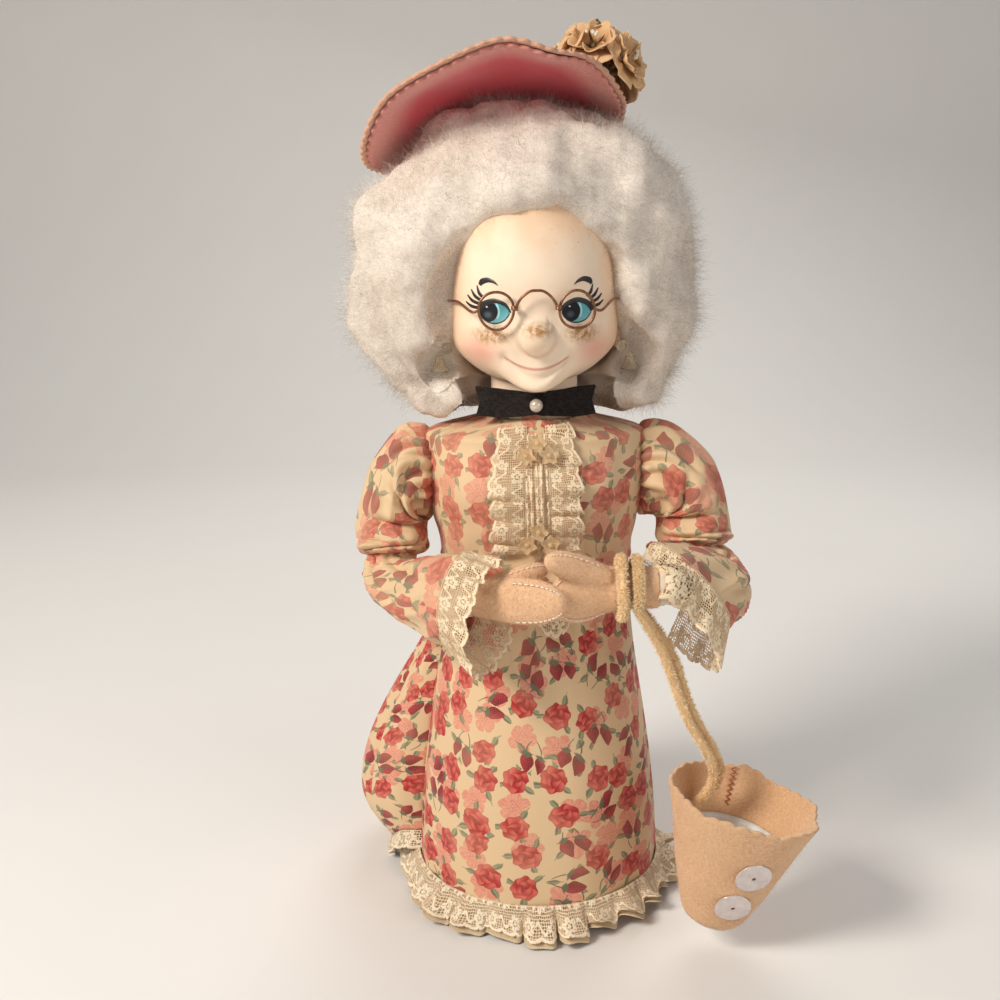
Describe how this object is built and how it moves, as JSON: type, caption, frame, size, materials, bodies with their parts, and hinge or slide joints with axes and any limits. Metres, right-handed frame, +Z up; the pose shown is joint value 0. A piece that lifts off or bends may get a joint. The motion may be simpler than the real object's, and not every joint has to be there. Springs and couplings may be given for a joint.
{
  "type": "bottle doll",
  "caption": "Old-lady doll in a printed cotton dress built over a glass bottle, with a turning head, liftable clasped arms and a small felt basket that swings on one wrist.",
  "frame": {"origin": "middle of the bottle's flat base, on the table", "axes": "+Z up along the bottle, -Y the way the doll faces, +X the doll's left side"},
  "size_m": [0.1902, 0.1746, 0.3702],
  "materials": {
    "bottle_glass": "clear green glass",
    "cork": "natural cork",
    "card": "matt card",
    "printed_cotton": "cream cotton with a small floral print",
    "ribbon": "tan woven ribbon",
    "lace": "cream cotton lace",
    "wadding": "soft wadding",
    "black_felt": "black felt",
    "pearl": "pearly",
    "clear_bead": "clear pale yellow, polished",
    "chenille": "cream chenille",
    "vinyl": "painted vinyl, satin",
    "wool": "greyish white wool",
    "copper_wire": "dull copper",
    "tan_felt": "tan felt",
    "pink_felt": "pink felt",
    "dried_stem": "dried stems",
    "leaf": "dark green",
    "dried_petal": "dried ochre petals",
    "steel_wire": "bare wire",
    "peach_felt": "peach felt",
    "cup_plastic": "white, satin",
    "sequin": "pearly white"
  },
  "bodies": {
    "figure": {"bottle": "bottle_glass", "bottle_stopper": "cork", "skirt_form": "card", "skirt": "printed_cotton", "hem_ruffle": "ribbon", "hem_lace": "lace", "bustle": "printed_cotton", "bustle_lace": "lace", "bodice": "printed_cotton", "bodice_batting": "wadding", "collar": "printed_cotton", "bow_tie": "black_felt", "bow_pearl": "pearl", "jabot_centre": "lace", "jabot_left": "lace", "jabot_right": "lace", "brooch_upper": "clear_bead", "brooch_lower": "clear_bead", "waist_lace": "lace"},
    "head": {"head": "vinyl", "hair": "wool", "spectacles": "copper_wire", "right_temple": "copper_wire", "left_temple": "copper_wire", "right_earring_bead": "clear_bead", "right_earring_bell": "clear_bead", "left_earring_bead": "clear_bead", "left_earring_bell": "clear_bead", "hat_felt": "tan_felt", "hat_lining": "pink_felt", "flower_stems": "dried_stem", "hat_flower_1": "dried_petal", "hat_flower_2": "dried_petal", "hat_flower_3": "dried_petal", "hat_flower_4": "dried_petal", "hat_flower_5": "dried_petal", "hat_flower_6": "dried_petal", "hat_flower_7": "dried_petal", "hat_leaf_1": "leaf", "hat_leaf_2": "leaf"},
    "arms": {"right_puff": "printed_cotton", "right_lower_sleeve": "printed_cotton", "right_arm": "wadding", "right_arm_wire": "steel_wire", "right_mitten": "peach_felt", "right_cuff_lace": "lace", "left_puff": "printed_cotton", "left_lower_sleeve": "printed_cotton", "left_arm": "wadding", "left_arm_wire": "steel_wire", "left_mitten": "peach_felt", "left_cuff_lace": "lace", "wrist_band": "chenille"},
    "basket": {"basket_felt": "peach_felt", "basket_cup": "cup_plastic", "basket_base": "card", "basket_handle": "chenille", "sequin_upper": "sequin", "sequin_lower": "sequin"}
  },
  "joints": [
    {"name": "head_turn", "type": "hinge", "parent": "figure", "child": "head", "pos_m": [0, 0, 0.222], "axis": [0, 0, 1], "range_deg": [-35, 35]},
    {"name": "arms_lift", "type": "hinge", "parent": "figure", "child": "arms", "pos_m": [0, 0, 0.188], "axis": [-1, 0, 0], "range_deg": [0, 25]},
    {"name": "basket_swing", "type": "hinge", "parent": "arms", "child": "basket", "pos_m": [0.0375, -0.06, 0.154], "axis": [1, 0, 0], "range_deg": [-25, 12]}
  ]
}
